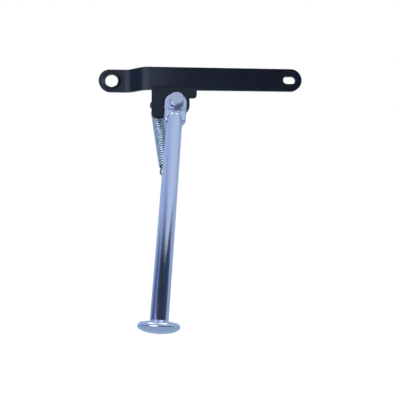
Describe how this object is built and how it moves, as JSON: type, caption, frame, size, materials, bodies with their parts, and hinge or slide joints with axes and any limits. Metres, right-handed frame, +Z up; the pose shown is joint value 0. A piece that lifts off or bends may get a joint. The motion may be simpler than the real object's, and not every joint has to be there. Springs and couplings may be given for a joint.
{
  "type": "bicycle kickstand",
  "caption": "Rear-axle bicycle kickstand: pressed joggled bracket strip with an axle hole and a slot, a spring-loaded folding tube leg and a domed steel foot.",
  "frame": {"origin": "centre of the axle hole at the outboard face of the bracket", "axes": "+X along the strap from the axle hole to the slot, +Y inboard to the frame of the bicycle, +Z up with the leg down; the leg stands outboard, to -Y"},
  "size_m": [0.1743, 0.0912, 0.2053],
  "materials": {
    "bracket_paint": "gloss black paint",
    "leg_chrome": "bright chrome plate",
    "rivet_chrome": "chrome plate",
    "zinc_plate": "bright zinc plate",
    "spring_wire": "bright zinc-plated spring wire"
  },
  "bodies": {
    "bracket": {"bracket": "bracket_paint", "pivot_rivet": "rivet_chrome", "pivot_washer": "zinc_plate", "tail_washer": "zinc_plate", "upper_post": "zinc_plate"},
    "leg": {"leg_tube": "leg_chrome", "foot": "leg_chrome", "lower_post": "zinc_plate"},
    "spring_hook": {"spring_hook": "spring_wire"},
    "spring_coil": {"spring_coil": "spring_wire"}
  },
  "joints": [
    {"name": "leg_fold", "type": "hinge", "parent": "bracket", "child": "leg", "pos_m": [0.0546, -0.01659, -0.02177], "axis": [0, -0.9455, 0.3256], "range_deg": [0, 98]},
    {"name": "spring_swing", "type": "hinge", "parent": "bracket", "child": "spring_hook", "pos_m": [0.0374, -0.00195, -0.01951], "axis": [0, -0.9455, 0.3256], "range_deg": [0, 79]},
    {"name": "spring_stretch", "type": "slide", "parent": "spring_hook", "child": "spring_coil", "axis": [0.1267, -0.3229, -0.9379], "range_m": [0, 0.0112], "deforming": ["spring_coil"]}
  ],
  "couplings": [
    {"joint": "spring_swing", "follows": "leg_fold", "ratio": 0.78685},
    {"joint": "spring_stretch", "follows": "leg_fold", "m_per_rad": 0.0063114}
  ]
}
